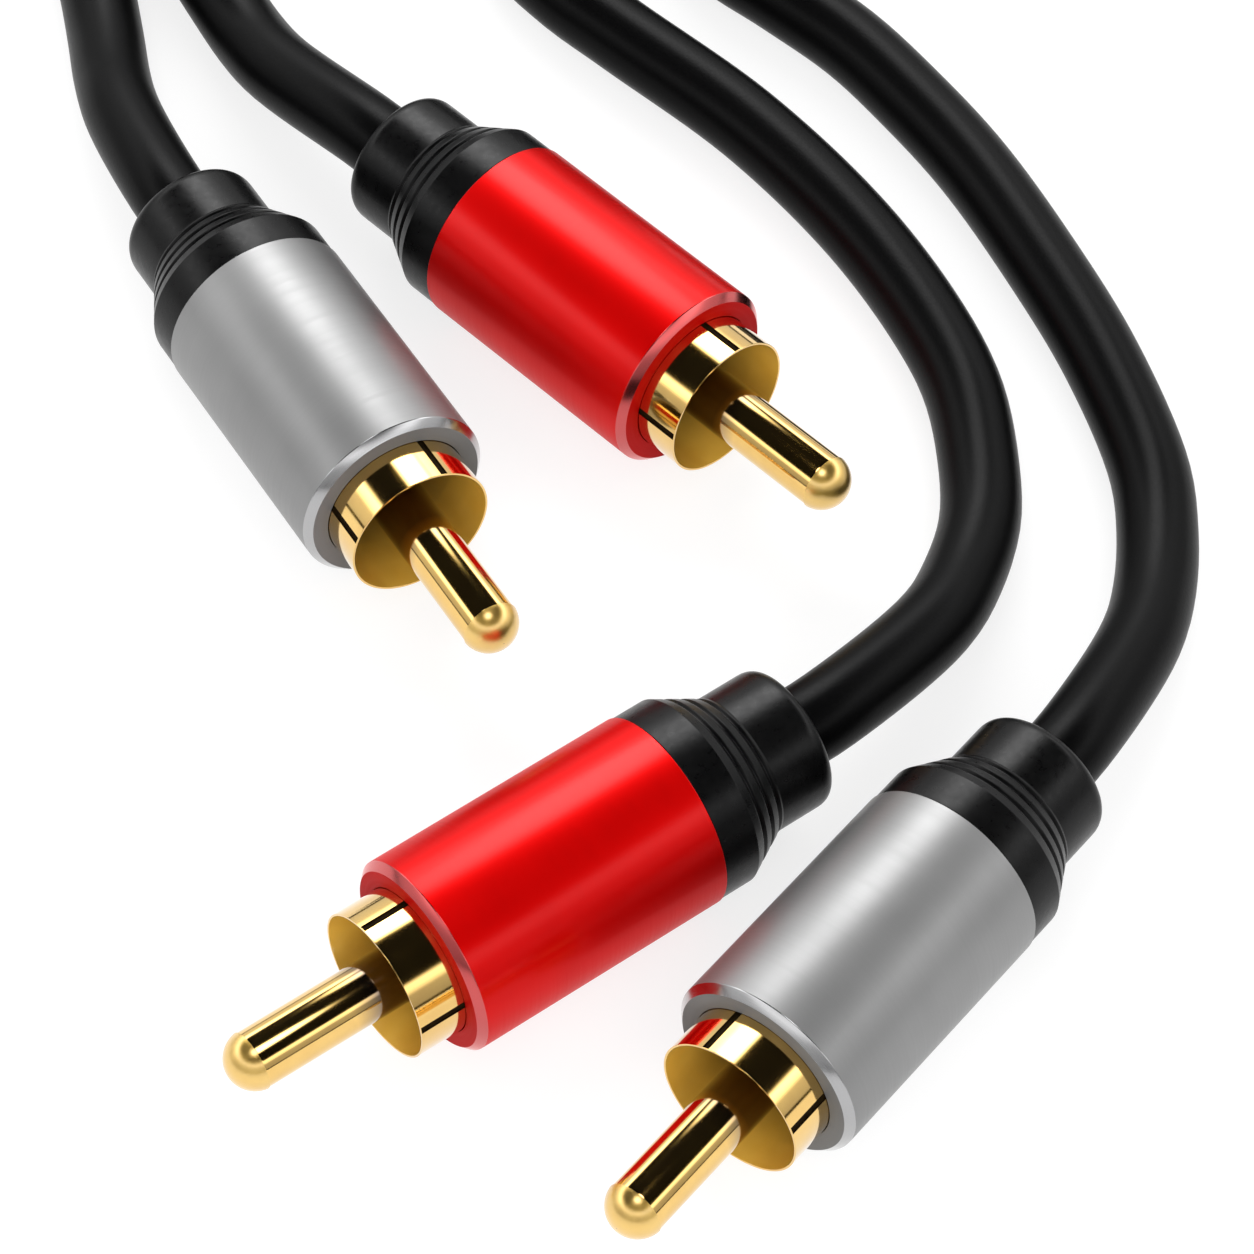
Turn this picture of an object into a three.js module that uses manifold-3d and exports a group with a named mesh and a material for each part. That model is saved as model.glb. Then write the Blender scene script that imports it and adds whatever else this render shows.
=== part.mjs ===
// Stereo audio cable: two leads side by side, each with a plug at both ends.
// The plugs and the free ends lie on the floor plane z = 0, and the rest is coiled and tied.
// Millimetres, +Z up. Along a plug, "along" counts from the sleeve's front face towards the pin.
import * as THREE from "three";
import { mergeVertices } from "three/addons/utils/BufferGeometryUtils.js";
import Module from "manifold-3d";

// Clearance between pieces that touch
const GAP = 0.3;

// Sleeve
const SLEEVE_WALL = 1.1;
const SLEEVE_LENGTH = 16.2;
const SLEEVE_CHAMFER = 0.42;

// Ground collar
const COLLAR_RADIUS = 4.35;
const COLLAR_WALL = 0.4;
const COLLAR_REACH = 2.8;
const COLLAR_DEPTH = 7.8;
const COLLAR_FLANGE = 0.8;
const RIM_WALL = 0.2;
const RIM_BEVEL = 0.5;
const SLOT_COUNT = 4;
const SLOT_WIDTH = 0.32;
const SLOT_DEPTH = 0.12;
const SLOT_RIM = 0.1;
const SLOT_TAIL = 2.5;

// Centre pin
const PIN_RADIUS = 1.65;
const PIN_LENGTH = 12.1;
const PIN_FOOT = 5.5;
const DOME_STEP = 0.06;
const TAIL_RADIUS = 1;
const TAIL_END = 11.6;
const CUP_RADIUS = 0.65;
const CUP_DEPTH = 2;

// Insulator
const INSULATOR_FRONT = 4.2;
const INSULATOR_NECK = 1.5;
const NECK_WALL = 0.45;

// Conductor, drain wire and the moulding that holds them
const CORE_RADIUS = 1.2;
const STRAND_RADIUS = 0.3;
const DRAIN_RADIUS = 0.25;
const MOULD_BORE = 3.2;

// Boot
const FLANGE_LENGTH = 1.9;
const FLANGE_INSET = 0.1;
const FLANGE_ROUND = 0.5;
const TAPER_LENGTH = 2.8;
const GRIP_RADIUS = 4.2;
const GRIP_LENGTH = 3.7;
const GRIP_ROUND = 1.1;
const GROOVE_COUNT = 3;
const GROOVE_PITCH = 0.85;
const GROOVE_WIDTH = 0.34;
const GROOVE_DEPTH = 0.22;

// Cord, coil and tie
const CORD_DIAMETER = 4.7;
const CORD_SIDES = 8;
const CORD_STEP = 10;
const COIL_CENTRE = [-13, 106];
const COIL_MIDDLE_RADIUS = 27;
const COIL_TURNS_ACROSS = 5.7;
const COIL_LAYERS = 2;
const TIE_THICKNESS = 0.6;
const TIE_WIDTH = 8;
const TIE_BEARING = 150;

// Where the middle of each sleeve's front face lies
const GREY_LEFT_PLACE = [-11.2, 9.4];
const RED_LEFT_PLACE = [5.6, 18.2];
const RED_RIGHT_PLACE = [-9.2, -22.1];
const GREY_RIGHT_PLACE = [8.9, -29.2];

// Each plug's place, the pin's bearing from -Y towards +X, the roll of the slots, and the
// sleeve's colour
const PLUGS = [
  { name: "grey_left", at: GREY_LEFT_PLACE, bearing: 31.1, roll: 22, colour: "grey" },
  { name: "red_left", at: RED_LEFT_PLACE, bearing: 44.4, roll: 34, colour: "red" },
  { name: "red_right", at: RED_RIGHT_PLACE, bearing: -53.2, roll: -34, colour: "red" },
  { name: "grey_right", at: GREY_RIGHT_PLACE, bearing: -38.8, roll: -22.5, colour: "grey" },
];

// Route of each free end from the boot to the coil: x, y and the lift above lying on the floor
const ROUTES = {
  grey_left: [
    [-28.5, 40.4, 2], [-29.5, 44.4, 1], [-30.2, 48.5, 0.3], [-31, 52.7, 0],
    [-32.2, 57.6, 0], [-34, 63.5, 0], [-36.2, 70, 0],
  ],
  red_left: [
    [-19.3, 44.7, 1.6], [-21.2, 48, 0.8], [-23.2, 51.8, 0.7], [-25.6, 55.9, 1.6],
    [-28.4, 60.2, 3.4], [-31.6, 64.4, 4.7], [-35.2, 68.6, 4.9], [-37.6, 71.2, 4.6],
  ],
  red_right: [
    [18.9, 1.6, 1.8], [20.8, 5.8, 0.8], [22, 10.4, 0.2], [22.1, 15, 0], [21.4, 20.5, 0],
    [19.4, 26, 0], [15.4, 33.4, 0], [9.2, 41.6, 0], [1.6, 49.1, 0], [-2.2, 52.9, 0],
    [-4.9, 56.7, 0], [-5.8, 61.3, 0], [-5, 65.3, 0],
  ],
  grey_right: [
    [30.4, 0.6, 1.5], [31.6, 5, 0.6], [32.1, 9.8, 0.1], [31.9, 14.4, 0], [29.6, 22.8, 0],
    [26.5, 30.4, 0], [22.7, 38.2, 0], [19.2, 43.7, 0], [15.6, 48.5, 0], [11.4, 52.6, 0],
    [7.8, 55.9, 0], [5.2, 59.8, 0], [4.3, 64.4, 0], [4.9, 68, 0],
  ],
};

// Worked out from the sizes above
const COLLAR_BORE = COLLAR_RADIUS - COLLAR_WALL;
const FLANGE_FRONT = COLLAR_DEPTH - COLLAR_FLANGE;
const NECK_RADIUS = TAIL_RADIUS + GAP + NECK_WALL;
const SLEEVE_BORE = COLLAR_RADIUS + GAP;
const SLEEVE_RADIUS = SLEEVE_BORE + SLEEVE_WALL;
const BOOT_FRONT = SLEEVE_LENGTH + GAP;
const BOOT_TAPER = BOOT_FRONT + FLANGE_LENGTH;
const BOOT_GRIP = BOOT_TAPER + TAPER_LENGTH;
const BOOT_END = BOOT_GRIP + GRIP_LENGTH;
const COIL_HALF_WIDTH = (COIL_TURNS_ACROSS * CORD_DIAMETER) / 2;
const COIL_FOOT = TIE_THICKNESS + GAP;
const COIL_HEIGHT = COIL_LAYERS * CORD_DIAMETER;

const MATERIALS = {
  gold: new THREE.MeshStandardMaterial({ color: 0xd9a63a, metalness: 1, roughness: 0.15 }),
  red: new THREE.MeshStandardMaterial({ color: 0xd20000, metalness: 0.8, roughness: 0.35 }),
  grey: new THREE.MeshStandardMaterial({ color: 0xa0a0a0, metalness: 0.9, roughness: 0.35 }),
  black: new THREE.MeshStandardMaterial({ color: 0x141414, roughness: 0.5 }),
  dark: new THREE.MeshStandardMaterial({ color: 0x20160c, roughness: 0.4 }),
  pale: new THREE.MeshStandardMaterial({ color: 0xd8d4c8, roughness: 0.6 }),
  tinned: new THREE.MeshStandardMaterial({ color: 0xb8b8b8, metalness: 1, roughness: 0.4 }),
};

const wasm = await Module();
wasm.setup();

const part = new THREE.Group();
part.name = "rca_audio_cable";

function add(name, geometry, material) {
  const mesh = new THREE.Mesh(geometry, material);
  mesh.name = name;
  part.add(mesh);
  return mesh;
}

// Solid turned about the plug's axis from [radius, along] points
function turned(points, segments) {
  const profile = points.map(([radius, along]) => new THREE.Vector2(radius, along));
  return new THREE.LatheGeometry(profile, segments);
}

// The same for a ring, whose outline closes on itself
function turnedRing(points, segments) {
  return turned([...points, points[0]], segments);
}

// Points of a quarter circle in a lathe outline, from angle "from" to angle "to" in degrees
function arc(radius, along, size, from, to, steps) {
  return Array.from({ length: steps + 1 }, (_, i) => {
    const angle = THREE.MathUtils.degToRad(from + ((to - from) * i) / steps);
    return [radius + size * Math.cos(angle), along + size * Math.sin(angle)];
  });
}

function toSolid(geometry) {
  const bare = geometry.clone();
  bare.deleteAttribute("normal");
  bare.deleteAttribute("uv");
  const merged = mergeVertices(bare, 1e-4);
  return new wasm.Manifold(
    new wasm.Mesh({
      numProp: 3,
      vertProperties: merged.attributes.position.array,
      triVerts: new Uint32Array(merged.index.array),
    }),
  );
}

function toGeometry(solid) {
  const mesh = solid.getMesh();
  const geometry = new THREE.BufferGeometry();
  geometry.setAttribute("position", new THREE.BufferAttribute(mesh.vertProperties, 3));
  geometry.setIndex(new THREE.BufferAttribute(mesh.triVerts, 1));
  geometry.computeVertexNormals();
  return geometry;
}

// Pin: domed tip, a fine step below the dome, the shaft, and a tail with a solder cup
function centrePin() {
  const domeRadius = PIN_RADIUS + DOME_STEP / 2;
  const domeBase = PIN_LENGTH - domeRadius;
  return turned(
    [
      [0, CUP_DEPTH - TAIL_END],
      [CUP_RADIUS, CUP_DEPTH - TAIL_END],
      [CUP_RADIUS, -TAIL_END],
      [TAIL_RADIUS, -TAIL_END],
      [TAIL_RADIUS, -PIN_FOOT - GAP],
      [PIN_RADIUS, -PIN_FOOT],
      [PIN_RADIUS, domeBase],
      ...arc(0, domeBase, domeRadius, 0, 81, 6),
      [0, PIN_LENGTH],
    ],
    24,
  );
}

// Insulator: a disc inside the collar with a neck through the collar's flange
function insulator() {
  const back = -FLANGE_FRONT + GAP;
  const neckEnd = back - INSULATOR_NECK;
  const step = -PIN_FOOT - 2 * GAP;
  return turnedRing(
    [
      [TAIL_RADIUS + GAP, neckEnd],
      [NECK_RADIUS, neckEnd],
      [NECK_RADIUS, back],
      [COLLAR_BORE - GAP, back],
      [COLLAR_BORE - GAP, -INSULATOR_FRONT],
      [PIN_RADIUS + GAP, -INSULATOR_FRONT],
      [PIN_RADIUS + GAP, step],
      [TAIL_RADIUS + GAP, step],
    ],
    24,
  );
}

function slotCutter(index) {
  const length = COLLAR_REACH - SLOT_RIM + SLOT_TAIL;
  const box = new THREE.BoxGeometry(SLOT_WIDTH, length, 2 * SLOT_DEPTH);
  box.translate(0, length / 2 - SLOT_TAIL, COLLAR_RADIUS);
  box.rotateY(((index + 0.5) * 2 * Math.PI) / SLOT_COUNT);
  return toSolid(box);
}

// Ground collar: a thin cup open at the front, with fine slots that stop short of the rim
function groundCollar(roll) {
  const shell = turnedRing(
    [
      [NECK_RADIUS + GAP, -COLLAR_DEPTH],
      [COLLAR_RADIUS, -COLLAR_DEPTH],
      [COLLAR_RADIUS, COLLAR_REACH],
      [COLLAR_RADIUS - RIM_WALL, COLLAR_REACH],
      [COLLAR_BORE, COLLAR_REACH - RIM_BEVEL],
      [COLLAR_BORE, -FLANGE_FRONT],
      [NECK_RADIUS + GAP, -FLANGE_FRONT],
    ],
    40,
  );
  let solid = toSolid(shell);
  for (let i = 0; i < SLOT_COUNT; i += 1) {
    solid = solid.subtract(slotCutter(i));
  }
  return toGeometry(solid).rotateY(THREE.MathUtils.degToRad(roll));
}

function sleeve() {
  return turnedRing(
    [
      [SLEEVE_BORE, -SLEEVE_LENGTH],
      [SLEEVE_RADIUS, -SLEEVE_LENGTH],
      [SLEEVE_RADIUS, -SLEEVE_CHAMFER],
      [SLEEVE_RADIUS - SLEEVE_CHAMFER, 0],
      [SLEEVE_BORE, 0],
    ],
    40,
  );
}

function innerMould() {
  return turnedRing(
    [
      [MOULD_BORE, -SLEEVE_LENGTH],
      [SLEEVE_BORE - GAP, -SLEEVE_LENGTH],
      [SLEEVE_BORE - GAP, -COLLAR_DEPTH - GAP],
      [MOULD_BORE, -COLLAR_DEPTH - GAP],
    ],
    24,
  );
}

// Insulated core with its bared strands in the pin's solder cup
function coreWire() {
  const shoulder = -TAIL_END - GAP;
  return turned(
    [
      [0, -BOOT_END],
      [CORE_RADIUS, -BOOT_END],
      [CORE_RADIUS, shoulder],
      [STRAND_RADIUS, shoulder],
      [STRAND_RADIUS, CUP_DEPTH - TAIL_END - GAP],
      [0, CUP_DEPTH - TAIL_END - GAP],
    ],
    12,
  );
}

// Drain wire beside the core, from the collar's flange to the boot
function drainWire() {
  const front = -COLLAR_DEPTH - GAP;
  const wire = turned(
    [
      [0, -SLEEVE_LENGTH],
      [DRAIN_RADIUS, -SLEEVE_LENGTH],
      [DRAIN_RADIUS, front],
      [0, front],
    ],
    8,
  );
  return wire.translate((MOULD_BORE + CORE_RADIUS) / 2, 0, 0);
}

// Outline of the boot's taper with its grooves, from the rear to the front
function grooves() {
  const slope = (SLEEVE_RADIUS - FLANGE_INSET - GRIP_RADIUS) / TAPER_LENGTH;
  const radiusAt = (along) => GRIP_RADIUS + (along + BOOT_GRIP) * slope;
  const outline = [];
  for (let i = 0; i < GROOVE_COUNT; i += 1) {
    const middle = -BOOT_GRIP + GROOVE_WIDTH + i * GROOVE_PITCH;
    const rear = middle - GROOVE_WIDTH / 2;
    const front = middle + GROOVE_WIDTH / 2;
    outline.push([radiusAt(rear), rear]);
    outline.push([radiusAt(middle) - GROOVE_DEPTH, middle]);
    outline.push([radiusAt(front), front]);
  }
  return outline;
}

function boot() {
  const bore = CORE_RADIUS + GAP;
  const flangeRadius = SLEEVE_RADIUS - FLANGE_INSET;
  return turnedRing(
    [
      [bore, -BOOT_END],
      ...arc(GRIP_RADIUS - GRIP_ROUND, GRIP_ROUND - BOOT_END, GRIP_ROUND, -90, 0, 4),
      [GRIP_RADIUS, -BOOT_GRIP],
      ...grooves(),
      [flangeRadius - FLANGE_ROUND, -BOOT_TAPER - FLANGE_ROUND],
      [flangeRadius, -BOOT_TAPER],
      [flangeRadius, -BOOT_FRONT],
      [bore, -BOOT_FRONT],
    ],
    28,
  );
}

// Turns a piece built along +Y to where its plug lies, resting on its sleeve
function place(mesh, plug) {
  const angle = THREE.MathUtils.degToRad(plug.bearing);
  const across = new THREE.Vector3(Math.cos(angle), Math.sin(angle), 0);
  const forward = new THREE.Vector3(Math.sin(angle), -Math.cos(angle), 0);
  const down = new THREE.Vector3(0, 0, -1);
  const frame = new THREE.Matrix4().makeBasis(across, forward, down);
  frame.setPosition(plug.at[0], plug.at[1], SLEEVE_RADIUS);
  mesh.applyMatrix4(frame);
}

function addPlug(plug) {
  const pieces = [
    add(`${plug.name}_pin`, centrePin(), MATERIALS.gold),
    add(`${plug.name}_insulator`, insulator(), MATERIALS.dark),
    add(`${plug.name}_collar`, groundCollar(plug.roll), MATERIALS.gold),
    add(`${plug.name}_sleeve`, sleeve(), MATERIALS[plug.colour]),
    add(`${plug.name}_inner_mould`, innerMould(), MATERIALS.black),
    add(`${plug.name}_core_wire`, coreWire(), MATERIALS.pale),
    add(`${plug.name}_drain_wire`, drainWire(), MATERIALS.tinned),
    add(`${plug.name}_boot`, boot(), MATERIALS.black),
  ];
  pieces.forEach((piece) => place(piece, plug));
}

// Point on a plug's axis, at a distance behind the sleeve's front face
function behind(plug, distance) {
  const angle = THREE.MathUtils.degToRad(plug.bearing);
  return new THREE.Vector3(
    plug.at[0] - distance * Math.sin(angle),
    plug.at[1] + distance * Math.cos(angle),
    SLEEVE_RADIUS,
  );
}

// Free end of a cord, from just behind the boot to just short of the coil
function cordEnd(plug) {
  const lying = ROUTES[plug.name].map(
    ([x, y, lift]) => new THREE.Vector3(x, y, CORD_DIAMETER / 2 + lift),
  );
  const path = new THREE.CatmullRomCurve3([
    behind(plug, BOOT_END + GAP),
    behind(plug, BOOT_END + CORD_DIAMETER / 2),
    ...lying,
  ]);
  const section = new THREE.Shape(
    Array.from({ length: CORD_SIDES }, (_, i) => {
      const angle = ((i + 0.5) * 2 * Math.PI) / CORD_SIDES;
      const radius = (CORD_DIAMETER - GAP) / 2;
      return new THREE.Vector2(radius * Math.cos(angle), radius * Math.sin(angle));
    }),
  );
  const steps = Math.ceil(path.getLength() / CORD_STEP);
  const tube = new THREE.ExtrudeGeometry(section, { steps, extrudePath: path, bevelEnabled: false });
  add(`cord_${plug.name}`, tube, MATERIALS.black);
}

// Outer shape of both cords wound together
function coil() {
  const inner = COIL_MIDDLE_RADIUS - COIL_HALF_WIDTH;
  const outer = COIL_MIDDLE_RADIUS + COIL_HALF_WIDTH;
  const ring = turnedRing(
    [
      [inner, 0],
      [outer, 0],
      [outer, COIL_HEIGHT],
      [inner, COIL_HEIGHT],
    ],
    48,
  );
  ring.rotateX(Math.PI / 2);
  ring.translate(COIL_CENTRE[0], COIL_CENTRE[1], COIL_FOOT);
  add("cord_coil", ring, MATERIALS.black);
}

function rectangle(shape, width, height) {
  shape.moveTo(-width / 2, -height / 2);
  shape.lineTo(width / 2, -height / 2);
  shape.lineTo(width / 2, height / 2);
  shape.lineTo(-width / 2, height / 2);
  shape.closePath();
  return shape;
}

// Flat strap right round the coil's turns. Its inner run is straight across the ring's hole.
function tie() {
  const coilInner = COIL_MIDDLE_RADIUS - COIL_HALF_WIDTH;
  const inner = Math.sqrt(coilInner ** 2 - (TIE_WIDTH / 2) ** 2) - GAP;
  const outer = COIL_MIDDLE_RADIUS + COIL_HALF_WIDTH + GAP;
  const height = COIL_HEIGHT + 2 * GAP;
  const twice = 2 * TIE_THICKNESS;
  const outline = rectangle(new THREE.Shape(), outer - inner + twice, height + twice);
  outline.holes.push(rectangle(new THREE.Path(), outer - inner, height));
  const strap = new THREE.ExtrudeGeometry(outline, { depth: TIE_WIDTH, bevelEnabled: false });
  strap.translate((inner + outer) / 2, height / 2 + TIE_THICKNESS, -TIE_WIDTH / 2);
  strap.rotateX(Math.PI / 2);
  strap.rotateZ(THREE.MathUtils.degToRad(TIE_BEARING));
  strap.translate(COIL_CENTRE[0], COIL_CENTRE[1], 0);
  add("coil_tie", strap, MATERIALS.black);
}

PLUGS.forEach(addPlug);
PLUGS.forEach(cordEnd);
coil();
tie();

export default part;
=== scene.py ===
import math

import bpy
import numpy as np
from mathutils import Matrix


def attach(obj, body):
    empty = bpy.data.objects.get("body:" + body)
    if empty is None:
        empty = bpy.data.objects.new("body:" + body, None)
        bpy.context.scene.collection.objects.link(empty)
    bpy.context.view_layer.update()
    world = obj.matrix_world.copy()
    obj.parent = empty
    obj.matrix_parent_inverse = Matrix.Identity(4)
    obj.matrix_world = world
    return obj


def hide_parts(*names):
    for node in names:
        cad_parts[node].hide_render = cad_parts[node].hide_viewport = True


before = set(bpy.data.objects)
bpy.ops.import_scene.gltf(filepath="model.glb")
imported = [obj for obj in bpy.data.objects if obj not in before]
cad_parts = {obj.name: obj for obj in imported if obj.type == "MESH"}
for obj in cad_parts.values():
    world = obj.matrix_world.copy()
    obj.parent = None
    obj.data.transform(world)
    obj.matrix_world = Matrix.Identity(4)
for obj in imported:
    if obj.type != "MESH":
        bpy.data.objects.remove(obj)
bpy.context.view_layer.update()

# Camera. It looks down at the four plugs where they lie, from the side that the pins point
# to. The focal length is in pixels of the square photograph, and MM turns the part's
# millimetres into metres.
MM = 0.001
PHOTO_PIXELS = 1254
FOCAL_PIXELS = 5281
CAMERA_ELEVATION = math.radians(52)
CAMERA_DISTANCE = 300 * MM
CAMERA_NEAR = 10 * MM
CAMERA_TARGET = np.array([1.85, 4.7, 0]) * MM

camera_data = bpy.data.cameras.new("camera")
camera_data.lens = camera_data.sensor_width * FOCAL_PIXELS / PHOTO_PIXELS
camera_data.clip_start = CAMERA_NEAR
camera = bpy.data.objects.new("camera", camera_data)
towards_camera = np.array([0, -math.cos(CAMERA_ELEVATION), math.sin(CAMERA_ELEVATION)])
camera.location = CAMERA_TARGET + CAMERA_DISTANCE * towards_camera
camera.rotation_euler = (math.pi / 2 - CAMERA_ELEVATION, 0, 0)
bpy.context.scene.collection.objects.link(camera)
bpy.context.scene.camera = camera


# Leads. Two round cords of soft black PVC run from a plug on the left to a plug on the
# right, one with red plugs and one with grey. The ends lie loose on the floor, and the
# rest is wound side by side into a flat coil of two layers and held by a strap.
CORD_DIAMETER = 4.7 * MM
LEAD_STEP = 1.1 * MM
LEAD_SIDES = 28
LEAD_IN_BOOT = 0.6 * MM
SLEEVE_RADIUS = 5.75 * MM
BOOT_END = 24.9 * MM
COIL_CENTRE = np.array([-13, 106]) * MM
COIL_INNER = 14.9 * MM
COIL_PITCH = 9.53 * MM
COIL_PAIR = 4.75 * MM
COIL_START = math.radians(205)
COIL_ANGLE = math.radians(1690)
COIL_STEP = math.radians(12)
COIL_REVERSAL = 0.3
COIL_CLIMB = math.radians(150)
STRAP_THICKNESS = 0.6 * MM
STRAP_BEARING = math.radians(150)
STRAP_HUMP = 0.4

# Stretches of the coil's climb, as shares of it: where the cords swap sides, where the grey
# one rises and where the red one does. Then the overhang at which a turn lies on the floor.
SIDES_SWAP = (0.2, 0.8)
GREY_RISES = (0, 0.45)
RED_RISES = (0.55, 1)
OVERHANG_SUNK = 1.18 * COIL_PAIR

# Values of a noise texture at which a colour or roughness is at its lowest and its highest
NOISE_LOW = 0.3
NOISE_HIGH = 0.7

# Each plug's sleeve front (x, y) in millimetres, the bearing that its pin points to, in degrees
# from -Y towards +X, and how far it is rolled about its own axis
PLUGS = {
    "grey_left": {"at": (-11.2, 9.4), "bearing": 31.1, "roll": 22, "colour": "grey"},
    "red_left": {"at": (5.6, 18.2), "bearing": 44.4, "roll": 34, "colour": "red"},
    "red_right": {"at": (-9.2, -22.1), "bearing": -53.2, "roll": -34, "colour": "red"},
    "grey_right": {"at": (8.9, -29.2), "bearing": -38.8, "roll": -22.5, "colour": "grey"},
}

# Each free end from its boot to the coil, in millimetres: x, y and the lift off the floor
ROUTES = {
    "grey_left": [
        (-28.5, 40.4, 2), (-29.5, 44.4, 1), (-30.2, 48.5, 0.3), (-31, 52.7, 0),
        (-32.2, 57.6, 0), (-34, 63.5, 0), (-36.2, 70, 0), (-39, 78, 0), (-41.8, 85.6, 0),
    ],
    "red_left": [
        (-19.3, 44.7, 1.6), (-21.2, 48, 0.8), (-23.2, 51.8, 0.7), (-25.6, 55.9, 1.6),
        (-28.4, 60.2, 3.4), (-31.6, 64.4, 4.7), (-35.2, 68.6, 4.9), (-39, 73, 4.3),
        (-42.6, 78, 3.6), (-45.3, 82.6, 2.3), (-47.2, 86.6, 1),
    ],
    "red_right": [
        (18.9, 1.6, 1.8), (20.8, 5.8, 0.8), (22, 10.4, 0.2), (22.1, 15, 0),
        (21.4, 20.5, 0), (19.4, 26, 0), (15.4, 33.4, 0), (9.2, 41.6, 0),
        (1.6, 49.1, 0), (-2.2, 52.9, 0), (-4.9, 56.7, 0), (-5.8, 61.3, 0),
        (-4.9, 65.9, 0.1), (-2.3, 69.6, 1.2), (1.6, 72.7, 3.2), (6, 76, 4.5),
    ],
    "grey_right": [
        (30.4, 0.6, 1.5), (31.6, 5, 0.6), (32.1, 9.8, 0.1), (31.9, 14.4, 0),
        (29.6, 22.8, 0), (26.5, 30.4, 0), (22.7, 38.2, 0), (19.2, 43.7, 0),
        (15.6, 48.5, 0), (11.4, 52.6, 0), (7.8, 55.9, 0), (5.2, 59.8, 0),
        (4.3, 64.4, 0), (5.2, 69, 0), (8.1, 73, 0),
    ],
}


def plug_frame(plug):
    """Across, forward and down directions of a lying plug, and its sleeve's front centre."""
    angle = math.radians(PLUGS[plug]["bearing"])
    across = np.array([math.cos(angle), math.sin(angle), 0])
    forward = np.array([math.sin(angle), -math.cos(angle), 0])
    centre = np.array([*np.array(PLUGS[plug]["at"]) * MM, SLEEVE_RADIUS])
    return across, forward, np.array([0, 0, -1.0]), centre


def behind(plug, distance):
    """Point on a plug's axis, a distance behind the sleeve's front face."""
    _, forward, _, centre = plug_frame(plug)
    return centre - distance * forward


def free_end(plug):
    """Points from inside the boot's pocket over the loose stretch, up to the coil."""
    pocket = [behind(plug, BOOT_END - LEAD_IN_BOOT), behind(plug, BOOT_END + CORD_DIAMETER / 2)]
    route = np.array(ROUTES[plug]) * MM + [0, 0, CORD_DIAMETER / 2]
    return np.concatenate([pocket, route])


def eased(t, start, end):
    """0 up to the start, 1 from the end on, and 3s^2 - 2s^3 of the share s between them."""
    share = np.clip((t - start) / (end - start), 0, 1)
    return share * share * (3 - 2 * share)


def coil_radius(turned_by):
    """Radius of the pair's middle: least halfway, and one pitch more per turn to either side.

    It is a hyperbola of the angle from the middle, so that it turns back smoothly.
    """
    from_middle = turned_by - COIL_ANGLE / 2
    turned_back = np.hypot(from_middle, COIL_REVERSAL) - COIL_REVERSAL
    return COIL_INNER + COIL_PITCH * turned_back / (2 * math.pi)


def coil_line(colour):
    """Centreline of one cord in the coil.

    The pair spirals in on the floor and out again on top. Over the climb in the middle of
    the winding the grey cord steps up and outwards over the red one, and then the red one
    steps up inside it. Where a turn on top is wider than all below, it sinks to the floor by
    the cube of its overhang. Every turn rises over the strap by a bell curve of the angle.
    """
    turned_by = np.linspace(0, COIL_ANGLE, int(COIL_ANGLE / COIL_STEP) + 1)
    t = (turned_by - COIL_ANGLE / 2) / COIL_CLIMB + 0.5
    aside = COIL_PAIR * (eased(t, *SIDES_SWAP) - 0.5)
    if colour == "grey":
        radius = coil_radius(turned_by) + aside
        layer = eased(t, *GREY_RISES)
    else:
        radius = coil_radius(turned_by) - aside
        layer = eased(t, *RED_RISES)
    widest_below = coil_radius(turned_by % (2 * math.pi)) + COIL_PAIR / 2
    overhang = np.clip((radius - widest_below) / OVERHANG_SUNK, 0, 1)
    layer = layer * (1 - overhang**3)
    bearing = COIL_START - turned_by
    off_strap = np.angle(np.exp(1j * (bearing - STRAP_BEARING)))
    over_strap = STRAP_THICKNESS * np.exp(-((off_strap / STRAP_HUMP) ** 2))
    return np.stack(
        [
            COIL_CENTRE[0] + radius * np.cos(bearing),
            COIL_CENTRE[1] + radius * np.sin(bearing),
            CORD_DIAMETER / 2 + layer * COIL_PAIR + over_strap,
        ],
        axis=1,
    )


def lengths_along(line):
    """Length along a line of points, from its first point to each of them."""
    return np.concatenate([[0], np.cumsum(np.linalg.norm(np.diff(line, axis=0), axis=1))])


def evenly(line, count):
    """The same line with that many points, at even lengths along it."""
    along = lengths_along(line)
    places = np.linspace(0, along[-1], count)
    return np.stack([np.interp(places, along, values) for values in line.T], axis=1)


def smooth_line(points, step, samples=16):
    """Centripetal Catmull-Rom curve through the points, then one point per step of length.

    Between two points it is the cubic that has the slopes leave and arrive at its ends. The
    gaps that these are worked out with are the square roots of the points' distances.
    """
    ends = [2 * points[0] - points[1]], [2 * points[-1] - points[-2]]
    p = np.concatenate([ends[0], points, ends[1]])
    gaps = np.sqrt(np.linalg.norm(np.diff(p, axis=0), axis=1))[:, None]
    before, here, after = gaps[:-2], gaps[1:-1], gaps[2:]
    p0, p1, p2, p3 = p[:-3], p[1:-2], p[2:-1], p[3:]
    leave = (p1 - p0) / before - (p2 - p0) / (before + here) + (p2 - p1) / here
    arrive = (p2 - p1) / here - (p3 - p1) / (here + after) + (p3 - p2) / after
    t = np.linspace(0, 1, samples, endpoint=False)[:, None, None]
    line = (
        (2 * t**3 - 3 * t**2 + 1) * p1
        + (t**3 - 2 * t**2 + t) * here * leave
        + (3 * t**2 - 2 * t**3) * p2
        + (t**3 - t**2) * here * arrive
    )
    line = np.concatenate([line.transpose(1, 0, 2).reshape(-1, 3), points[-1:]])
    return evenly(line, int(lengths_along(line)[-1] / step) + 1)


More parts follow.
